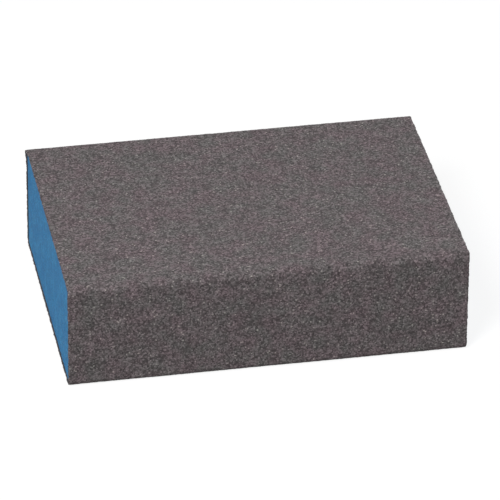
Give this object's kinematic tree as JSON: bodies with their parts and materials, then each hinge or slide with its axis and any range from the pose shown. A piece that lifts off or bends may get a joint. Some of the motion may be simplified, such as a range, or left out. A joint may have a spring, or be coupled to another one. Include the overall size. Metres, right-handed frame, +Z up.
{
  "type": "sanding block",
  "caption": "Rectangular foam hand sanding block with a grey abrasive coat on its long faces and edges, and bare blue foam at the cut ends.",
  "frame": {"origin": "middle of the bottom face, on the surface that the block rests on", "axes": "+X along the block from the left cut end to the right one, +Y from the front face to the back face, +Z up"},
  "size_m": [0.097, 0.07, 0.027],
  "materials": {
    "foam": "matte",
    "bond_resin": "matte",
    "grit": "matte"
  },
  "bodies": {
    "root": {"foam_core": "foam", "top_bond_coat": "bond_resin", "top_grit": "grit", "bottom_bond_coat": "bond_resin", "bottom_grit": "grit", "front_bond_coat": "bond_resin", "front_grit": "grit", "back_bond_coat": "bond_resin", "back_grit": "grit"}
  },
  "joints": []
}
